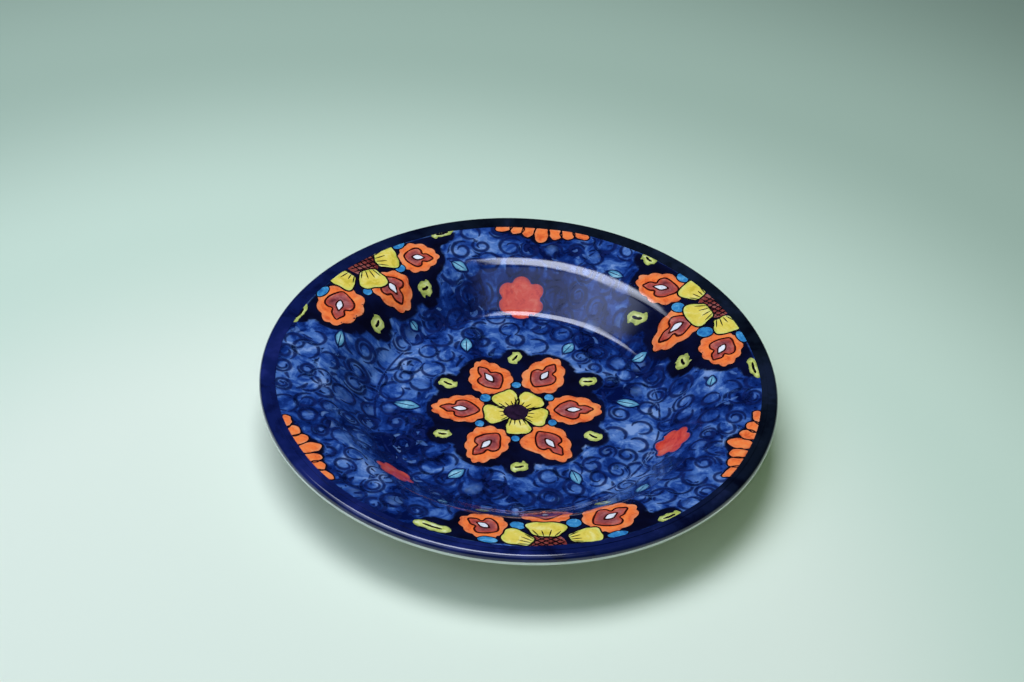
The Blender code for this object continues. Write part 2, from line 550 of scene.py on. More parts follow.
def stroke(line, width, closed=False, soft=False, taper=0.18, draw=None):
    """A brush stroke along a plan line as (plan points, triangles, fade)."""
    line = even_steps(np.asarray(line, float), closed)
    count = len(line)
    if closed:
        ahead = np.roll(line, -1, 0) - np.roll(line, 1, 0)
    else:
        ahead = np.gradient(line, axis=0)
    breadth = np.full(count, width / 2)
    if draw:
        breadth *= 1 + unevenness(count, 0.16, 7, draw)
    if not closed:
        share = np.linspace(0, 1, count)
        ends = np.minimum(share, 1 - share) / taper
        breadth *= 0.12 + 0.88 * np.sqrt(np.clip(ends, 0, 1))
    lanes = np.array(STROKE_LANES)
    plan = line[:, None] + sideways(ahead)[:, None] * (lanes[None, :, None] * breadth[:, None, None])
    plan = kept_inside(plan.reshape(-1, 2))
    fade = np.tile(SOFT_LANES if soft else HARD_LANES, count)
    return plan, lane_triangles(count, len(lanes), closed), fade.astype(float)


def lane_triangles(count, lanes, closed):
    """The triangles between lanes of points that run side by side along a line."""
    rows = np.arange(count if closed else count - 1)
    following = (rows + 1) % count
    triangles = []
    for lane in range(lanes - 1):
        a = rows * lanes + lane
        b = following * lanes + lane
        triangles += [np.column_stack([a, b, b + 1]), np.column_stack([a, b + 1, a + 1])]
    return np.vstack(triangles)


# --- Materials ---


class Graph:
    """A short way to write a node tree."""

    def __init__(self, tree):
        self.tree = tree

    def feed(self, node, inputs):
        """Links each input to a socket, or sets it to a number, a vector or a colour."""
        for key, value in dict(inputs).items():
            if isinstance(value, bpy.types.NodeSocket):
                self.tree.links.new(value, node.inputs[key])
            else:
                node.inputs[key].default_value = value

    def node(self, kind, inputs=(), **settings):
        """A new node with its settings and its inputs."""
        made = self.tree.nodes.new(kind)
        for key, value in settings.items():
            setattr(made, key, value)
        self.feed(made, inputs)
        return made

    def position(self):
        return self.node("ShaderNodeTexCoord").outputs["Object"]

    def fade(self):
        return self.node("ShaderNodeAttribute", attribute_name="fade").outputs["Fac"]

    def x_and_y(self, vector):
        outputs = self.node("ShaderNodeSeparateXYZ", {"Vector": vector}).outputs
        return outputs["X"], outputs["Y"]

    def noise(self, vector, scale, detail=3.0, roughness=0.5, distortion=0.0):
        inputs = {
            "Vector": vector, "Scale": scale, "Detail": detail, "Roughness": roughness,
            "Distortion": distortion,
        }
        return self.node("ShaderNodeTexNoise", inputs).outputs["Fac"]

    def ramp(self, factor, stops):
        """A colour ramp through (place, colour) stops."""
        made = self.node("ShaderNodeValToRGB", {"Fac": factor})
        made.color_ramp.interpolation = "EASE"
        elements = made.color_ramp.elements
        while len(elements) < len(stops):
            elements.new(0.5)
        for element, (place, colour) in zip(elements, stops):
            element.position = place
            element.color = (*colour, 1.0)
        return made.outputs["Color"]

    def shades(self, factor, colours, low, high):
        """A colour ramp with its colours evenly spread from low to high."""
        places = np.linspace(low, high, len(colours))
        return self.ramp(factor, list(zip(places, colours)))

    def mix(self, factor, first, second, kind="RGBA"):
        """Two colours mixed, or two numbers where the kind is FLOAT."""
        inputs = {"Factor": factor, "A": first, "B": second}
        return self.node("ShaderNodeMix", inputs, data_type=kind).outputs["Result"]

    def math(self, operation, first, second=0.0):
        return self.node("ShaderNodeMath", {0: first, 1: second}, operation=operation).outputs[0]

    def sum(self, first, weight, second, other_weight):
        """The first times its weight, plus the second times its weight."""
        terms = [self.math("MULTIPLY", first, weight), self.math("MULTIPLY", second, other_weight)]
        return self.math("ADD", *terms)

    def ranged(self, value, low, high, new_low=0.0, new_high=1.0):
        """A value moved smoothly from one range into another."""
        inputs = {"Value": value, "From Min": low, "From Max": high, "To Min": new_low, "To Max": new_high}
        return self.node("ShaderNodeMapRange", inputs, interpolation_type="SMOOTHSTEP").outputs["Result"]

    def bump(self, height, strength, distance):
        inputs = {"Height": height, "Strength": strength, "Distance": distance}
        return self.node("ShaderNodeBump", inputs).outputs["Normal"]


def new_material(name, colour_of, finish_of):
    """A material from functions of (graph, position) that make its colour and its other inputs."""
    material = bpy.data.materials.new(name)
    material.use_nodes = True
    graph = Graph(material.node_tree)
    position = graph.position()
    inputs = {"Base Color": colour_of(graph, position), **finish_of(graph, position)}
    graph.feed(material.node_tree.nodes["Principled BSDF"], inputs)
    return material


GLAZE_ROUGHNESS = 0.09
BACK_ROUGHNESS = 0.12
GLAZE_COAT = {"IOR": 1.52, "Coat Weight": 0.3, "Coat Roughness": 0.04, "Coat IOR": 1.5}


def glazed(name, colour_of, roughness=GLAZE_ROUGHNESS):
    """A glossy glaze, finely pitted and gently rippled, over a colour."""

    def finish_of(graph, position):
        pits = graph.noise(position, 900.0, 2.0)
        waves = graph.noise(position, 55.0, 2.0, 0.4)
        uneven = graph.ranged(pits, 0.35, 0.75, roughness * 0.8, roughness * 1.5)
        return {**GLAZE_COAT, "Roughness": uneven, "Normal": graph.bump(waves, 0.10, 0.0012)}

    return new_material(name, colour_of, finish_of)


def bare(graph, position):
    """The finish of fired clay with no glaze: grainy and dull."""
    grain = graph.noise(position, 1500.0, 4.0, 0.7)
    return {"Roughness": graph.ranged(grain, 0.3, 0.7, 0.7, 0.95), "Normal": graph.bump(grain, 0.5, 0.0003)}


WASH_SHADES = [
    (0.45, (0.001, 0.005, 0.050)),
    (0.51, (0.005, 0.024, 0.15)),
    (0.56, (0.018, 0.064, 0.28)),
    (0.61, (0.070, 0.16, 0.43)),
    (0.68, (0.22, 0.33, 0.61)),
]


def wash_group():
    """The mottled cobalt wash that covers the face, as a node group with a Color output."""
    tree = bpy.data.node_groups.new("cobalt_wash", "ShaderNodeTree")
    tree.interface.new_socket("Color", in_out="OUTPUT", socket_type="NodeSocketColor")
    graph = Graph(tree)
    position = graph.position()
    x, y = graph.x_and_y(position)
    radius = graph.math("SQRT", graph.sum(x, x, y, y))

    # Polar coordinates stretch the brush marks outwards on the wall.
    angle = graph.math("MULTIPLY", graph.math("ARCTAN2", y, x), 9.0)
    outwards = graph.math("MULTIPLY", radius, 14.0)
    around = graph.node("ShaderNodeCombineXYZ", {"X": angle, "Y": outwards}).outputs["Vector"]
    streaks = graph.noise(around, 2.2, 4.0, 0.6)

    broad = graph.noise(position, 26.0, 3.0, 0.55, 0.6)
    blots = graph.noise(position, 95.0, 4.0, 0.6, 1.2)
    fine = graph.noise(position, 420.0, 3.0, 0.65)
    wall = graph.ranged(radius, 0.064, 0.070)
    rim = graph.ranged(radius, 0.084, 0.090, 1.0, 0.0)
    mottled = graph.sum(broad, 0.55, blots, 0.45)
    brushed = graph.sum(streaks, 0.24, mottled, 0.70)
    level = graph.mix(graph.math("MULTIPLY", wall, rim), mottled, brushed, "FLOAT")
    colour = graph.ramp(graph.sum(level, 1.0, fine, 0.10), WASH_SHADES)
    graph.node("NodeGroupOutput", {"Color": colour})
    return tree


WASH = wash_group()


def wash_colour(graph, position):
    """The wash itself, which finds its own position."""
    return graph.node("ShaderNodeGroup", node_tree=WASH).outputs["Color"]


def faded_paint(colours, scale, strength=1.0):
    """Paint of two or more colours that fades out into the wash where its fade attribute does."""

    def colour_of(graph, position):
        paint = graph.shades(graph.noise(position, scale, 3.0, 0.6), colours, 0.32, 0.68)
        cover = graph.ranged(graph.fade(), 0.0, 0.9, 0.0, strength)
        return graph.mix(cover, wash_colour(graph, position), paint)

    return colour_of


def brushed_paint(colours, scale):
    """Solid paint whose colour wanders between two or more shades, as brushed glaze does."""

    def colour_of(graph, position):
        broad = graph.noise(position, scale, 3.0, 0.6, 0.8)
        fine = graph.noise(position, scale * 6, 2.0)
        return graph.shades(graph.sum(broad, 0.8, fine, 0.2), colours, 0.34, 0.66)

    return colour_of


def edged_paint(inner, edge, scale):
    """Paint that is one set of shades inside and runs to another towards its edge."""

    def colour_of(graph, position):
        inside = brushed_paint(inner, scale)(graph, position)
        outside = brushed_paint(edge, scale * 1.3)(graph, position)
        return graph.mix(graph.ranged(graph.fade(), 0.05, 0.9), outside, inside)

    return colour_of


BAND_SCALE = 40.0
PAINTED_SHADE_HEADING = math.radians(40)     # the side of the rim where shade is painted darkest into the band's cobalt
PAINTED_SHADE_SPAN = (-0.075, 0.06)       # metres along that heading, over which the painted shade turns the band almost black
COBALT_BAND = [(0.002, 0.004, 0.035), (0.005, 0.011, 0.080), (0.012, 0.020, 0.13)]
# The band's cobalt with shade painted into it, used towards the darker side
COBALT_PAINTED_SHADE = [(0.001, 0.002, 0.006), (0.004, 0.007, 0.014), (0.008, 0.013, 0.030)]


def band_paint(graph, position):
    """The band's cobalt, with shade painted into it that makes it darker on one side of the rim."""
    x, y = graph.x_and_y(position)
    along = graph.sum(x, math.cos(PAINTED_SHADE_HEADING), y, math.sin(PAINTED_SHADE_HEADING))
    unshaded_cobalt = brushed_paint(COBALT_BAND, BAND_SCALE)(graph, position)
    shaded_cobalt = brushed_paint(COBALT_PAINTED_SHADE, BAND_SCALE)(graph, position)
    return graph.mix(graph.ranged(along, *PAINTED_SHADE_SPAN), unshaded_cobalt, shaded_cobalt)


# Each paint's shades from dark to light, and the scale of its brush marks. The first kind also says how
# much of the wash it hides.
FADED = {
    "pool": ([(0.045, 0.12, 0.38), (0.11, 0.23, 0.54), (0.22, 0.36, 0.68)], 200.0, 0.48),
    "ink": ([(0.002, 0.006, 0.045), (0.007, 0.016, 0.10)], 260.0, 0.92),
    "ground": ([(0.002, 0.002, 0.010), (0.003, 0.005, 0.030)], 60.0),
}
BRUSHED = {
    "line": ([(0.003, 0.002, 0.004), (0.010, 0.005, 0.010)], 120.0),
    "brown": ([(0.035, 0.004, 0.003), (0.075, 0.010, 0.006)], 120.0),
    "dot": ([(0.015, 0.11, 0.33), (0.04, 0.24, 0.50), (0.14, 0.42, 0.66)], 260.0),
    "white": ([(0.72, 0.70, 0.74), (0.93, 0.92, 0.94)], 300.0),
    "eye": ([(0.006, 0.003, 0.010), (0.030, 0.012, 0.034)], 200.0),
    "rust": ([(0.10, 0.012, 0.010), (0.26, 0.045, 0.035), (0.38, 0.13, 0.11)], 200.0),
}
# Paints with shades inside and others at the edge
EDGED = {
    "orange": (
        [(0.76, 0.11, 0.028), (1.0, 0.21, 0.048), (1.0, 0.31, 0.090)],
        [(0.58, 0.09, 0.030), (0.86, 0.22, 0.08), (0.90, 0.33, 0.15)], 130.0,
    ),
    "brick": (
        [(0.14, 0.025, 0.032), (0.30, 0.065, 0.068), (0.48, 0.15, 0.14)],
        [(0.36, 0.035, 0.022), (0.58, 0.085, 0.050), (0.66, 0.20, 0.14)], 160.0,
    ),
    "yellow": (
        [(0.68, 0.50, 0.050), (0.84, 0.64, 0.100), (0.90, 0.76, 0.24)],
        [(0.40, 0.42, 0.05), (0.66, 0.66, 0.13), (0.78, 0.78, 0.30)], 150.0,
    ),
    "lime": (
        [(0.48, 0.50, 0.08), (0.70, 0.72, 0.20), (0.84, 0.86, 0.50)],
        [(0.28, 0.32, 0.06), (0.52, 0.56, 0.16)], 220.0,
    ),
    "cyan": (
        [(0.09, 0.26, 0.40), (0.20, 0.46, 0.60), (0.42, 0.68, 0.78)],
        [(0.02, 0.12, 0.26), (0.07, 0.26, 0.42)], 170.0,
    ),
    "blossom": (
        [(0.60, 0.042, 0.028), (0.78, 0.085, 0.045), (0.82, 0.16, 0.09)],
        [(0.30, 0.03, 0.035), (0.58, 0.08, 0.07)], 140.0,
    ),
}
WHITE_GLAZE = [(0.70, 0.76, 0.70), (0.80, 0.85, 0.80)]
CLAY = [(0.40, 0.29, 0.20), (0.62, 0.48, 0.35)]

MATERIALS = {
    "wash": glazed("wash_glaze", wash_colour),
    "band": glazed("band_glaze", band_paint),
    "back": glazed("back_glaze_white", brushed_paint(WHITE_GLAZE, 40.0), BACK_ROUGHNESS),
    "clay": new_material("bare_clay", brushed_paint(CLAY, 180.0), bare),
}
for kind, paints in ((faded_paint, FADED), (brushed_paint, BRUSHED), (edged_paint, EDGED)):
    for paint_name, shades in paints.items():
        MATERIALS[paint_name] = glazed(f"{paint_name}_paint", kind(*shades))


# --- The plate's own surfaces ---


def make_plate():
    """The clay and its four coats, in place of the faceted CAD nodes."""
    for name, node, profile, material, slot in [
        ("clay", "clay_body", clay_profile(), "clay", "bare_clay"),
        ("face_wash", "face_glaze", skin_profile(FACE), "wash", "painted_face"),
        ("lip_band", "lip_band_glaze", skin_profile(BAND), "band", "cobalt_band"),
        ("back_coat", "back_glaze", skin_profile(BACK), "back", "white_glaze"),
        ("foot_well_coat", "foot_well_glaze", skin_profile(FOOT_WELL), "back", "white_glaze"),
    ]:
        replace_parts(turned_piece(name, profile, MATERIALS[material]), node)


# --- Motifs ---


class Flower:
    """The paint of one flower, gathered by layer and material."""

    def __init__(self, name, seed):
        self.name = name
        self.draw = random.Random(seed)
        self.parts = {}

    def add(self, layer, material, shape):
        """Adds a shape to the piece that holds one material on one layer."""
        self.parts.setdefault((layer, material), []).append(shape)

    def trace(self, layer, material, outline, width, soft=False):
        """Paints a line of uneven width along a closed outline."""
        self.add(layer, material, stroke(outline, width, True, soft=soft, draw=self.draw))

    def orange_petal(self, x, y, heading, length, width, tulip_heading, ear=None):
        """An orange petal with a brick tulip inside it and a white drop inside that."""
        outline = scalloped_petal(x, y, heading, length, width, self.draw, ear)
        self.add("orange petals", "orange", filled(outline, 3.0))
        self.trace("petal lines", "line", outline, 0.55)
        heart = curved(TULIP, x, y, tulip_heading, length * 0.72, width * 0.66)
        heart = hand_drawn(heart, 0.20, self.draw)
        self.add("tulips", "brick", filled(heart, 3.2))
        self.trace("tulip lines", "brown", heart, 0.95)
        surround = curved(DROP, x, y, tulip_heading, min(8.6, length * 0.36), 4.3)
        self.add("tulip lines", "brown", filled(surround))
        nucleus = curved(DROP, x, y, tulip_heading, min(6.0, length * 0.25), 2.6)
        self.add("drops", "white", filled(hand_drawn(nucleus, 0.08, self.draw, 4)))

    def yellow_petal(self, x, y, heading, length, width):
        """A yellow petal with a black outline and short dark marks at its base."""
        outline = hand_drawn(curved(FAN, x, y, heading, length, width), 0.32, self.draw, 8)
        self.add("yellow petals", "yellow", filled(outline, 2.4))
        self.trace("yellow lines", "line", outline, 0.8)
        for side in (-0.26, -0.09, 0.09, 0.26):
            reach = self.draw.uniform(0.30, 0.48)
            marks = [(-length * 0.50, width * side * 0.7), (length * (reach - 0.48), width * side * 1.3)]
            self.add("yellow lines", "line", stroke(placed(marks, x, y, heading), FINE_LINE, taper=0.4))

    def blue_dot(self, x, y, length, width=None, heading=0.0):
        """A blue dot or oval with a dark outline."""
        outline = hand_drawn(oval(x, y, length, width or length, heading), 0.10, self.draw, 4)
        self.add("dots", "dot", filled(outline))
        self.trace("dot lines", "line", outline, FINE_LINE)

    def slit_leaf(self, x, y, heading, length, width):
        """A small ragged yellow-green leaf with a dark slit along it."""
        outline = curved(RAGGED_LEAF, x, y, heading, length, width)
        outline = hand_drawn(outline, 0.32, self.draw, 9)
        self.add("dots", "lime", filled(outline, 1.5))
        slit = placed([(-length * 0.30, 0.2), (0, -0.2), (length * 0.28, 0.15)], x, y, heading)
        self.add("dot lines", "line", stroke(slit, 1.2, draw=self.draw))

    def ground(self, x, y, lobes, swell=0.35):
        """The near-black ground: the outline round a set of discs, each (x, y, radius), seen from (x, y)."""
        angle = ring_angles(360)
        reach = np.zeros(360)
        for lobe_x, lobe_y, radius in lobes:
            away = math.hypot(lobe_x - x, lobe_y - y)
            off = angle - math.atan2(lobe_y - y, lobe_x - x)
            room = radius**2 - (away * np.sin(off)) ** 2
            edge = away * np.cos(off) + np.sqrt(np.maximum(room, 0))
            reach = np.maximum(reach, np.where(room > 0, edge, 0))
        reach += unevenness(360, swell, 14, self.draw)
        outline = even_steps(polar(reach, angle) + (x, y), True, 0.7)
        self.add("ground", "ground", filled(outline, 1.3))
        TAKEN.extend(lobes)

    def bloom(self, middle, lobes, petals, yellows, dots, leaves):
        """The ground, and the petals, dots and leaves over it."""
        self.ground(*middle, lobes)
        paints = (self.orange_petal, self.yellow_petal, self.blue_dot, self.slit_leaf)
        for paint, places in zip(paints, (petals, yellows, dots, leaves)):
            for place in places:
                paint(*place)

    def make(self):
        """Makes one piece for each material on each layer."""
        for (layer, material), shapes in self.parts.items():
            name = f"{self.name}_{material}_{layer.replace(' ', '_')}"
            paint_piece(name, shapes, layer, MATERIALS[material])


# Places that the curls of the wash keep out of, each (x, y, radius)
TAKEN = []

# The flowers' parts: orange petals (x, y, heading, length, width, tulip's heading, ear), yellow petals and
# leaves (x, y, heading, length, width), and dots (x, y, length, width, heading), where a dot without a width
# is round
CENTRE = (-0.8, -2.6)
EYE_RADIUS = 4.0
CENTRE_PETALS = [
    (-14.6, 21.0, 112, 25, 20, 125, (-92, 0.14)),
    (11.8, 25.0, 70, 27, 20, 62),
    (26.2, 1.8, 8, 26, 20, 8),
    (15.8, -22.6, -54, 26, 20, -52, (-112, 0.34)),
    (-13.8, -26.0, -112, 26, 20, -126),
    (-27.2, -2.2, 184, 26, 19, 178),
]
# The centre's yellow petals go by (heading, reach, width)
CENTRE_YELLOWS = [
    (120, 16.0, 13.2), (53, 16.0, 13.4), (-12, 15.4, 13.0), (-83, 15.8, 12.2), (192, 15.6, 13.6),
]
CENTRE_DOTS = [
    (-1.4, 16.8, 4.8), (14.3, 9.3, 5.0), (16.4, -8.3, 4.6),
    (-0.4, -20.9, 4.4), (-17.4, -12.0, 4.8), (-15.6, 6.2, 5.8),
]
CENTRE_LEAVES = [
    (-2.8, 36.6, 62, 8.6, 6.0), (32.6, 22.6, 8, 8.2, 6.2), (35.6, -16.0, -30, 8.0, 6.6),
    (2.2, -39.8, 18, 8.0, 6.6), (-34.2, -20.6, -5, 7.4, 6.0), (-33.8, 15.0, -28, 8.6, 6.4),
]


def centre_flower():
    """The six-petalled flower in the middle of the well."""
    flower = Flower("centre", 3)
    lobes = [(x, y, 0.5 * length + 3.2) for x, y, _, length, *_ in CENTRE_PETALS]
    lobes += [(x, y, 7.9) for x, y, *_ in CENTRE_LEAVES]
    yellows = []
    for heading, reach, width in CENTRE_YELLOWS:
        place = placed([((reach + EYE_RADIUS) / 2, 0)], *CENTRE, heading)[0]
        yellows.append((*place, heading, reach - EYE_RADIUS, width))
    flower.bloom(CENTRE, lobes, CENTRE_PETALS, yellows, CENTRE_DOTS, CENTRE_LEAVES)
    eye = hand_drawn(oval(*CENTRE, 11.6, 11.2), 0.30, flower.draw, 8)
    flower.add("drops", "eye", filled(eye))
    flower.make()
    TAKEN.append((*CENTRE, 22.0))


# Each half flower round the rim: name, seed, middle, orange petals, yellow petals, dots and leaves
MEDALLIONS = [
    ("left", 11, (-80.5, 77.0), [
        (-53.4, 85.8, 16, 20.0, 19.0, 5), (-64.2, 63.8, -44, 21.0, 20.0, -46),
        (-88.4, 45.2, -103, 27.0, 22.5, -92),
    ], [
        (-68.8, 82.4, 26, 12.0, 15.0), (-74.6, 66.6, -62, 12.5, 14.5), (-88.6, 63.2, -122, 11.5, 14.5),
    ], [
        (-61.6, 76.8, 5.4), (-76.0, 57.8, 5.0), (-63.6, 92.0, 7.4, 4.6, 50), (-97.2, 52.6, 9.0, 4.4, 60),
    ], [
        (-42.6, 103.4, 26, 11.5, 4.0), (-48.6, 69.6, 40, 6.6, 6.6),
        (-69.8, 43.2, 75, 7.6, 6.0), (-106.2, 35.0, 68, 14.0, 3.8),
    ]),
    ("right", 12, (92.5, 61.0), [
        (66.0, 74.2, 150, 25.0, 20.0, 168), (73.6, 48.8, 210, 23.0, 19.0, 205),
        (94.8, 30.4, -82, 23.0, 20.5, -118),
    ], [
        (81.4, 71.2, 138, 12.0, 13.5), (84.0, 55.2, 206, 12.5, 16.5), (97.2, 46.6, -68, 11.5, 13.5),
    ], [
        (76.6, 80.2, 7.2, 5.2, -55), (74.6, 60.4, 7.4, 6.6, -30),
        (87.2, 42.8, 8.2, 7.2, 10), (104.4, 38.0, 8.8, 4.6, -62),
    ], [
        (60.0, 93.0, -50, 7.6, 6.4), (55.2, 60.2, -28, 9.6, 5.6),
        (77.0, 28.8, -70, 7.4, 6.6), (109.4, 15.6, -80, 14.0, 4.6),
    ]),
    ("front", 13, (16.0, -110.0), [
        (-12.4, -98.2, 165, 21.0, 19.5, 150), (14.6, -82.0, 92, 25.0, 23.0, 92),
        (43.0, -87.2, 33, 26.0, 21.5, 42),
    ], [
        (2.6, -106.0, 158, 14.0, 12.0), (15.2, -98.4, 92, 11.0, 18.5), (32.6, -102.0, 20, 15.0, 11.0),
    ], [
        (2.6, -96.8, 7.4, 6.0, -20), (27.0, -93.0, 7.2, 6.8, 10),
        (-10.0, -109.0, 9.4, 4.8, -4), (46.0, -100.4, 10.0, 4.4, 22),
    ], [
        (-34.2, -102.8, -20, 16.5, 6.0), (68.4, -87.4, 34, 11.0, 4.6),
        (-13.0, -77.6, 60, 7.4, 5.6), (40.0, -69.0, 120, 7.4, 5.6),
    ]),
]
HEART_SIZE = 17.0


def medallion(name, seed, middle, petals, yellows, dots, leaves):
    """A half flower at the edge of the rim, cut off by the band, with a crossed net on its heart."""
    flower = Flower(name, seed)
    lobes = [(x, y, 0.5 * length + 4.2) for x, y, _, length, *_ in petals]
    lobes += [(x, y, 0.5 * width + 5.2) for x, y, _, _, width in leaves]
    lobes.append((*middle, 16.0))
    flower.bloom(middle, lobes, petals, yellows, dots, leaves)
    heart = hand_drawn(oval(*middle, HEART_SIZE, HEART_SIZE), 0.2, flower.draw, 6)
    flower.add("orange petals", "rust", filled(heart))
    for lean in (35, 145):
        for offset in np.arange(-6.5, 7.0, 2.3):
            half = math.sqrt(8.2**2 - offset**2)
            line = placed([(-half, offset), (half, offset)], *middle, lean)
            flower.add("petal lines", "line", stroke(line, 0.75, draw=flower.draw))
    flower.make()


# A half daisy's petals: (place along the band, lean, share of its reach, width)
DAISY_PETALS = [
    (-15.8, -60, 0.84, 5.6), (-11.2, -30, 0.68, 7.2), (-5.9, -12, 0.76, 6.8), (0.0, 0, 1.0, 7.6),
    (5.9, 12, 0.74, 6.6), (11.0, 30, 0.64, 7.0), (15.6, 58, 0.82, 5.4),
]


def half_daisy(name, seed, heading, reach):
    """A row of orange petals that fans out from the band, with the longest petal in the middle."""
    flower = Flower(name, seed)
    outward, along = placed([(1, 0), (0, 1)], 0, 0, heading)
    lobes = []
    for place, lean, share, width in DAISY_PETALS:
        length = reach * share
        curve = place**2 / (2 * PAINT_EDGE)
        base = outward * (PAINT_EDGE + 0.6 - curve) + along * place
        middle = placed([(0.6 - length / 2, 0)], *base, heading - lean)[0]
        outline = hand_drawn(oval(*middle, length, width, heading - lean), 0.28, flower.draw, 6)
        flower.add("orange petals", "orange", filled(outline, 2.0))
        flower.trace("petal lines", "line", outline, 0.7)
        depth = max(width, length * math.cos(math.radians(lean)))
        lobes.append((*middle, 0.5 * depth + 1.6))
    flower.ground(*(outward * (PAINT_EDGE + 3.0)), lobes, 0.12)
    flower.make()


def wall_blossom(name, seed, x, y, size):
    """A six-lobed blossom, round on the sloping wall, in one flat red-orange."""
    flower = Flower(name, seed)
    angle = ring_angles(200)
    lobe = np.abs(np.cos(3 * angle)) ** 0.7
    reach = size / 2 * (0.78 + 0.22 * lobe + unevenness(200, 0.02, 6, flower.draw))
    local = polar(reach, angle) * (math.cos(WALL_SLOPE), 1)
    outline = even_steps(placed(local, x, y, math.degrees(math.atan2(y, x))), True)
    flower.add("orange petals", "blossom", filled(outline, 2.5))
    flower.trace("petal lines", "ink", outline, 1.5, soft=True)
    flower.make()
    TAKEN.append((x, y, size / 2))


# The pale pointed leaves between the flowers: (x, y, heading, length, width)
CYAN_LEAVES = [
    (-26.6, 44.2, 96, 11.0, 5.8), (22.6, 46.2, 62, 10.0, 5.6), (51.6, 8.8, -8, 12.4, 5.8),
    (28.0, -44.6, -66, 10.0, 5.4), (-26.4, -47.0, 40, 10.4, 5.8), (-52.2, -2.0, -8, 13.6, 6.2),
    (-32.8, 84.2, -20, 9.0, 5.2), (43.6, 83.4, -24, 9.4, 4.8), (57.0, 41.2, 24, 8.4, 5.6),
    (-86.0, 24.0, 88, 11.0, 4.6), (89.6, 9.4, 80, 7.4, 4.6), (57.2, -62.0, 70, 11.5, 6.2),
    (-52.6, 51.8, -30, 5.4, 4.4), (-31.0, -78.0, 80, 10.5, 5.0),
]


def cyan_leaves():
    """The pale leaves, each with an ink outline and a vein that runs on into a stalk."""
    flower = Flower("cyan", 21)
    for x, y, heading, length, width in CYAN_LEAVES:
        outline = hand_drawn(leaf(x, y, heading, length, width), 0.12, flower.draw, 5)
        flower.add("dots", "cyan", filled(outline, 1.5))
        flower.trace("dot lines", "ink", outline, 0.8)
        vein = placed([(-length * 0.62, 0), (-length * 0.3, 0.2), (length * 0.3, -0.1)], x, y, heading)
        flower.add("dot lines", "ink", stroke(vein, 0.5))
        TAKEN.append((x, y, length / 2))
    flower.make()


def is_taken(x, y, overlap):
    """Whether a place lies in a flower, and farther in from its edge than the overlap."""
    return any(math.hypot(x - a, y - b) < reach - overlap for a, b, reach in TAKEN)


CURL_REACH = 112.0
RING_GAP = 10.2
CURL_GAP = 11.4
POOL_SHARE = 0.35
STROKES = 620


def curl_places(draw):
    """Loosely even places for the curls all over the face, clear of the flowers."""
    places = []
    for radius in np.arange(8.0, CURL_REACH, RING_GAP):
        count = int(2 * math.pi * radius / CURL_GAP)
        for index in range(count):
            angle = 2 * math.pi * (index + draw.uniform(-0.25, 0.25)) / count + radius
            away = min(radius + draw.uniform(-2.4, 2.4), CURL_REACH - 2.0)
            places.append((away * math.cos(angle), away * math.sin(angle)))
    return [place for place in places if not is_taken(*place, 1.0)]


def curls():
    """Loose dark curls with paler pools inside them, and short strokes, all over the wash."""
    flower = Flower("wash", 31)
    draw = flower.draw
    for x, y in curl_places(draw):
        size = draw.uniform(4.4, 6.8)
        turns = draw.choice((0.62, 0.78, 0.92, 1.0, 1.3, 1.6, 1.9))
        angle = draw.uniform(0, 2 * math.pi) + 2 * math.pi * turns * np.linspace(0, 1, 48)
        reach = size * np.linspace(1.0, 0.34 if turns > 1.1 else 0.84, 48)
        local = polar(reach, angle) * (1, draw.uniform(0.82, 1.0))
        line = placed(local, x, y, draw.uniform(0, 180))
        flower.add("curls", "ink", stroke(line, draw.uniform(2.0, 3.2), soft=True, draw=draw))
        if draw.random() < POOL_SHARE:
            pool = oval(x, y, size * 1.9, size * 1.6, draw.uniform(0, 180))
            flower.add("pools", "pool", filled(pool, size * 0.9))
    for _ in range(STROKES):
        radius = CURL_REACH * math.sqrt(draw.random())
        angle = draw.uniform(0, 2 * math.pi)
        x, y = radius * math.cos(angle), radius * math.sin(angle)
        if is_taken(x, y, 2.0):
            continue
        length = draw.uniform(4.0, 9.0)
        bend = draw.uniform(-1.6, 1.6)
        line = smooth_curve([(-length / 2, 0), (0, bend), (length / 2, 0)], False)
        line = placed(line, x, y, draw.uniform(0, 360))
        colour = draw.choice(("pool", "ink"))
        flower.add("strokes", colour, stroke(line, draw.uniform(1.6, 3.4), soft=True, taper=0.4))
    flower.make()


WELL_LINE_RADIUS = 67.0
BAND_EDGE = (112.3, 115.0)


def well_line():
    """The dark ring brushed where the floor meets the wall."""
    flower = Flower("well", 41)
    line = polar(WELL_LINE_RADIUS + unevenness(720, 0.30, 12, flower.draw), ring_angles(720))
    flower.trace("curls", "ink", line, 1.5, soft=True)
    flower.make()


def band_edge():
    """The uneven inner edge of the band, brushed over the ends of the flowers."""
    inner = BAND_EDGE[0] + unevenness(720, 0.20, 24, random.Random(51))[:, None]
    reach = inner + (BAND_EDGE[1] - inner) * np.array([0.0, 0.5, 1.0])
    plan = polar(reach.ravel(), np.repeat(ring_angles(720), 3))
    shape = (plan, lane_triangles(720, 3, True)[:, ::-1], np.ones(len(plan)))
    paint_piece("lip_band_edge", [shape], "drops", MATERIALS["band"])


# --- Studio ---


FLOOR_HALF = 6.0
# A pool of light painted into the floor's colour: brightest here, and darker farther away
FLOOR_LIGHT_POOL_CENTRE = (-0.06, -0.16, 0.0)
FLOOR_PAINTED_FALLOFF = [
    (0.18, (0.77, 0.81, 0.66)),
    (0.32, (0.60, 0.71, 0.56)),
    (0.48, (0.38, 0.48, 0.37)),
    (0.70, (0.21, 0.275, 0.21)),
]


def floor_colour(graph, position):
    """The floor's colour with a pool of light painted into it: darker with distance from the pool's centre.
    """
    away = graph.node("ShaderNodeVectorMath", {0: position, 1: FLOOR_LIGHT_POOL_CENTRE}, operation="DISTANCE")
    return graph.ramp(away.outputs["Value"], FLOOR_PAINTED_FALLOFF)


def floor_finish(graph, position):
    """A floor with almost no gloss."""
    return {"Roughness": 0.7, "Specular IOR Level": 0.15}


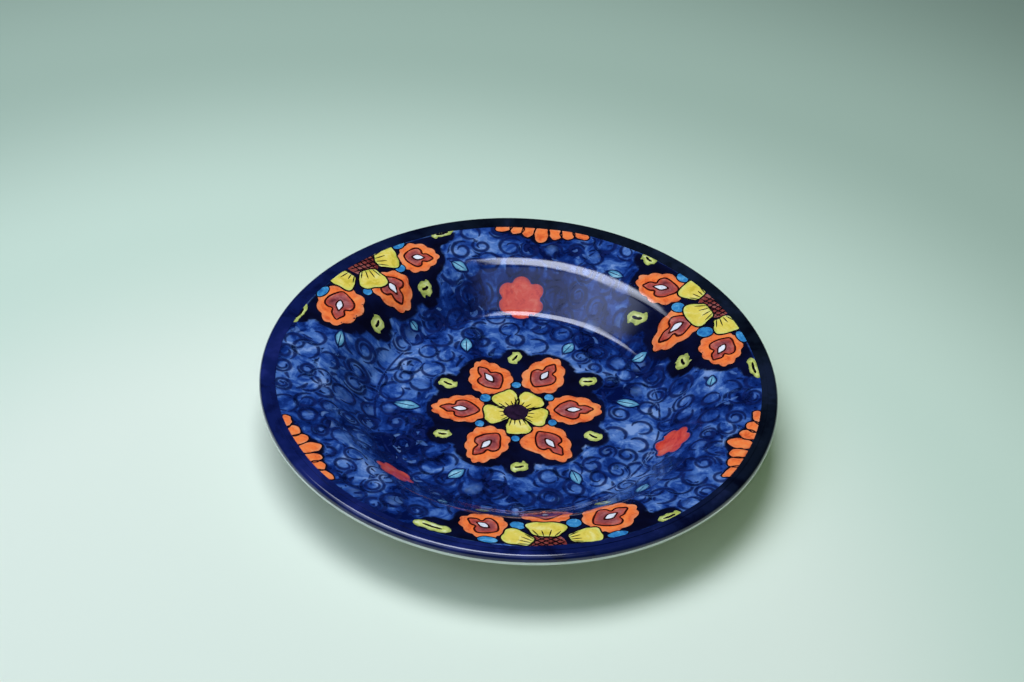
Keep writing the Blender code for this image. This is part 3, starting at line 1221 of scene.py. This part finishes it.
def make_floor():
    """A pale floor with a pool of light painted into its colour, darkening gently away from the pool's
    centre.
    """
    mesh = bpy.data.meshes.new("floor")
    corners = [(FLOOR_HALF * x, FLOOR_HALF * y, 0) for x, y in ((-1, -1), (1, -1), (1, 1), (-1, 1))]
    mesh.from_pydata(corners, [], [(0, 1, 2, 3)])
    mesh.materials.append(new_material("floor", floor_colour, floor_finish))
    floor = in_scene("floor", mesh)


SOFT_EDGES = [(0.0, 0.0), (0.22, 1.0), (0.78, 1.0), (1.0, 0.0)]


def panel_light(name, place, heading, length, width, power, colour, along_shades, in_gloss=True):
    """A soft rectangular light that faces the plate from a place, with its length along a heading.

    The shades say how bright it is along its length, as (share of the length, brightness).
    """
    data = bpy.data.lights.new(name, "AREA")
    data.shape = "RECTANGLE"
    data.size = length
    data.size_y = width
    data.energy = power
    data.color = colour
    data.use_nodes = True
    graph = Graph(data.node_tree)
    ways = graph.x_and_y(graph.node("ShaderNodeNewGeometry").outputs["Parametric"])
    ramps = []
    for way, shades in zip(ways, (along_shades, SOFT_EDGES)):
        ramps.append(graph.ramp(way, [(share, (shade,) * 3) for share, shade in shades]))
    graph.feed(data.node_tree.nodes["Emission"], {"Strength": graph.math("MULTIPLY", *ramps)})
    light = in_scene(name, data)
    light.visible_glossy = in_gloss
    away = Vector(place).normalized()
    along = Vector((math.cos(math.radians(heading)), math.sin(math.radians(heading)), 0.0))
    along = (along - away * along.dot(away)).normalized()
    turn = Matrix((along, away.cross(along), away)).transposed().to_4x4()
    light.matrix_world = Matrix.Translation(place) @ turn


SOFTBOX_SHADES = [(0.0, 0.3), (0.4, 0.9), (0.88, 1.0), (1.0, 0.4)]
PANEL_SHADES = [(0.0, 0.0), (0.2, 0.32), (0.45, 0.5), (0.64, 1.0), (0.78, 0.8), (0.92, 0.0)]
SURROUND_COLOUR = (0.80, 0.95, 0.88, 1.0)
SURROUND_STRENGTH = 0.006


def make_lights():
    """A softbox overhead, a dimmer panel in front of it, a green-tinted fill and a dark surround."""
    panel_light("softbox", (-0.34, 0.16, 1.40), 5, 1.12, 0.92, 34.0, (0.77, 0.83, 1.0), SOFTBOX_SHADES)
    panel_light("front_panel", (-0.50, -0.72, 1.35), 168, 2.9, 1.15, 26.0, (0.56, 0.67, 1.0), PANEL_SHADES)
    panel_light("fill", (0.3, -0.3, 1.6), 0, 2.8, 2.8, 8.0, (0.64, 1.0, 0.34), SOFT_EDGES, False)
    world = bpy.data.worlds.new("surround")
    bpy.context.scene.world = world
    world.use_nodes = True
    inputs = {"Color": SURROUND_COLOUR, "Strength": SURROUND_STRENGTH}
    Graph(world.node_tree).feed(world.node_tree.nodes["Background"], inputs)


CAMERA_ELEVATION = math.radians(39.97)
CAMERA_ROLL = math.radians(3.557)
SENSOR_WIDTH = 36.0
FOCAL_LENGTH = 84.4
RIM_CENTRE_IN_VIEW = Vector((0.0320, -0.1257, -9.270)) * PLATE_RADIUS * MM


def make_camera():
    """The camera, from its elevation, its roll and where it sees the middle of the rim."""
    tilt = Matrix.Rotation(math.pi / 2 - CAMERA_ELEVATION, 3, "X")
    turn = tilt @ Matrix.Rotation(CAMERA_ROLL, 3, "Z")
    data = bpy.data.cameras.new("camera")
    data.sensor_width = SENSOR_WIDTH
    data.lens = FOCAL_LENGTH
    camera = in_scene("camera", data)
    place = Vector((0, 0, PLATE_HEIGHT * MM)) - turn @ RIM_CENTRE_IN_VIEW
    camera.matrix_world = Matrix.Translation(place) @ turn.to_4x4()
    bpy.context.scene.camera = camera


make_camera()
make_lights()
make_floor()
make_plate()
centre_flower()
for parts in MEDALLIONS:
    medallion(*parts)
half_daisy("top_daisy", 61, 86.5, 11.5)
half_daisy("left_daisy", 62, 212.0, 12.0)
half_daisy("right_daisy", 63, 340.0, 13.0)
wall_blossom("back_blossom", 71, -1.6, 75.4, 25)
wall_blossom("right_blossom", 72, 72.0, -21.6, 21.5)
wall_blossom("left_blossom", 73, -53.5, -55.0, 21)
cyan_leaves()
curls()
well_line()
band_edge()
bpy.context.scene.view_settings.view_transform = "Standard"
